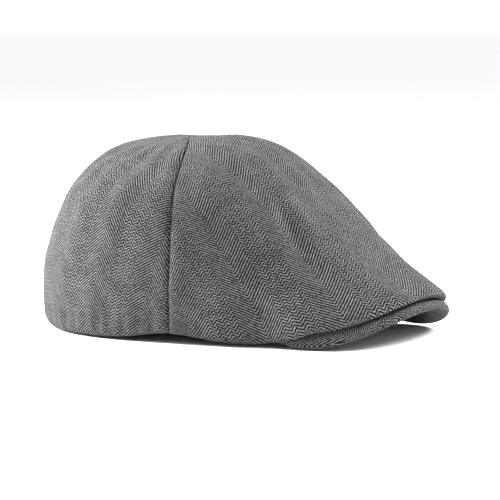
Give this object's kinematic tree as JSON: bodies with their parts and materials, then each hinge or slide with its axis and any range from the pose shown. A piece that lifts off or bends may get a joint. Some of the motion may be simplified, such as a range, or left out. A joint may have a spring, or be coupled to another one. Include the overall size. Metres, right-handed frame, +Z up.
{
  "type": "newsboy cap",
  "caption": "Soft duckbill newsboy cap in grey herringbone: front panel sewn down over a curved bill, ear-to-ear seam, lining and sweatband.",
  "frame": {"origin": "middle of the bottom of the bounding box, on the surface that the cap rests on", "axes": "+Z up through the crown, -Y towards the tip of the bill, +X towards the wearer's left"},
  "size_m": [0.1812, 0.2624, 0.1198],
  "materials": {
    "shell_cloth": "matte herringbone wool mix",
    "bill_under_cloth": "matte herringbone wool mix",
    "interfacing": "matte",
    "satin": "satin",
    "stay_tape": "matte",
    "thread": "satin",
    "twill": "matte twill",
    "foam": "matte",
    "elastic": "matte",
    "board": "matte",
    "label": "satin"
  },
  "bodies": {
    "cap": {"front_panel": "shell_cloth", "back_panel_left": "shell_cloth", "back_panel_right": "shell_cloth", "front_interfacing": "interfacing", "lining_front": "satin", "lining_back_left": "satin", "lining_back_right": "satin", "cross_seam_tape": "stay_tape", "back_seam_tape": "stay_tape", "cross_seam_stitch": "thread", "back_seam_stitch": "thread", "sweatband": "twill", "sweatband_stitch": "thread", "sweatband_padding": "foam", "back_elastic": "elastic", "bill_top_cover": "shell_cloth", "bill_under_cover": "bill_under_cloth", "bill_board": "board", "bill_edge_stitch": "thread", "front_tack_stitch": "thread", "size_label": "label", "crown_label": "label"},
    "care_label": {"care_label": "label"}
  },
  "joints": [
    {"name": "care_label_hinge", "type": "hinge", "parent": "cap", "child": "care_label", "pos_m": [0.0798, 0.0176, 0.04], "axis": [0, 1, 0], "range_deg": [0, 160]}
  ]
}
